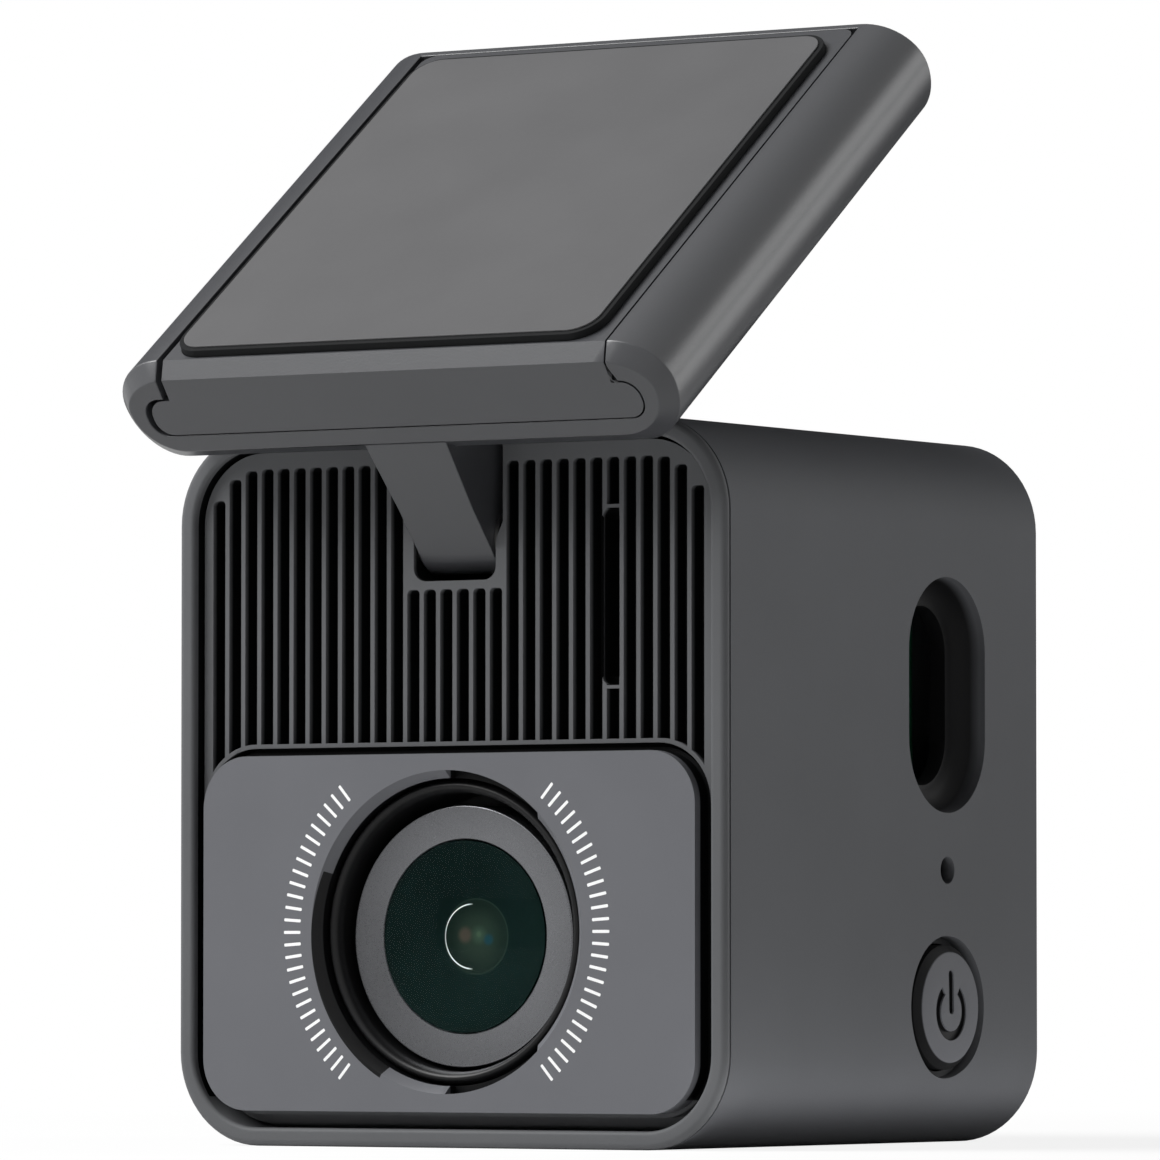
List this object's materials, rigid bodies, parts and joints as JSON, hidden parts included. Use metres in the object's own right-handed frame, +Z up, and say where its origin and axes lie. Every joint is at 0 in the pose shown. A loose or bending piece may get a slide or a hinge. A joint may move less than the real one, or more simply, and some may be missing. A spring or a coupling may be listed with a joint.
{
  "type": "dash camera",
  "caption": "Cube-shaped dash camera with a ribbed front, round lens, side charging port and power button, and a tilting slide-on windscreen mount.",
  "frame": {"origin": "centre of the body's flat bottom face", "axes": "+Z up, the lens looks along -Y, the charging port and power button are on the +X side"},
  "size_m": [0.043, 0.0478, 0.0742],
  "materials": {
    "sleeve_abs": "fine moulded texture",
    "frame_abs": "fine satin",
    "cover_abs": "fine moulded texture",
    "plate_lacquer": "satin lacquer",
    "shroud_pc": "polished",
    "ring_anodised": "bead-blasted, dark anodised",
    "barrel_anodised": "black anodised",
    "coated_glass": "green anti-reflection coating",
    "spacer_black": "flat black",
    "filter_glass": "infrared cut coating",
    "board_green": "solder mask",
    "chip_epoxy": "moulded epoxy",
    "port_steel": "nickel plated",
    "tongue_lcp": "moulded",
    "socket_steel": "stamped",
    "header_nylon": "moulded",
    "capsule_alloy": "stamped",
    "speaker_frame": "moulded",
    "capacitor_sleeve": "shrink sleeve",
    "thermal_silicone": "soft silicone",
    "spreader_alloy": "stamped",
    "bracket_steel": "black coated",
    "pin_steel": "ground",
    "screw_steel": "black zinc",
    "button_abs": "fine satin",
    "plunger_pom": "moulded",
    "mount_abs": "fine moulded texture",
    "slide_abs": "fine moulded texture",
    "foam_acrylic": "closed-cell foam",
    "film_polyester": "smooth satin"
  },
  "bodies": {
    "camera": {"housing_sleeve": "sleeve_abs", "front_frame": "frame_abs", "ribbed_cover": "cover_abs", "lens_plate": "plate_lacquer", "lens_shroud": "shroud_pc", "lens_ring": "ring_anodised", "lens_barrel": "barrel_anodised", "front_lens": "coated_glass", "inner_lens": "coated_glass", "rear_lens": "coated_glass", "lens_spacer": "spacer_black", "lens_holder": "chip_epoxy", "ir_filter": "filter_glass", "image_sensor": "chip_epoxy", "sensor_board": "board_green", "main_board": "board_green", "usb_shell": "port_steel", "usb_tongue": "tongue_lcp", "card_socket": "socket_steel", "card_board": "board_green", "board_header": "header_nylon", "switch_body": "header_nylon", "microphone": "capsule_alloy", "speaker": "speaker_frame", "backup_capacitors": "capacitor_sleeve", "processor": "chip_epoxy", "thermal_pad": "thermal_silicone", "heat_spreader": "spreader_alloy", "rear_cover": "sleeve_abs", "rear_cover_screws": "screw_steel", "main_board_screws": "screw_steel", "sensor_board_screws": "screw_steel", "bracket_screws": "screw_steel", "hinge_bracket": "bracket_steel", "hinge_pin": "pin_steel", "hinge_washers": "pin_steel"},
    "button": {"power_button": "button_abs", "switch_plunger": "plunger_pom"},
    "mount_head": {"mount_carrier": "mount_abs"},
    "windscreen_plate": {"slide_plate": "slide_abs", "foam_pad": "foam_acrylic", "pad_film": "film_polyester"}
  },
  "joints": [
    {"name": "tilt", "type": "hinge", "parent": "camera", "child": "mount_head", "pos_m": [0, -0.0167, 0.0395], "axis": [1, 0, 0], "range_deg": [-36.1, 47]},
    {"name": "plate_slide", "type": "slide", "parent": "mount_head", "child": "windscreen_plate", "axis": [0, -0.808, -0.5892], "range_m": [0, 0.038]},
    {"name": "power_press", "type": "slide", "parent": "camera", "child": "button", "axis": [-1, 0, 0], "range_m": [0, 0.00035], "stiffness_N_per_m": 1500}
  ]
}
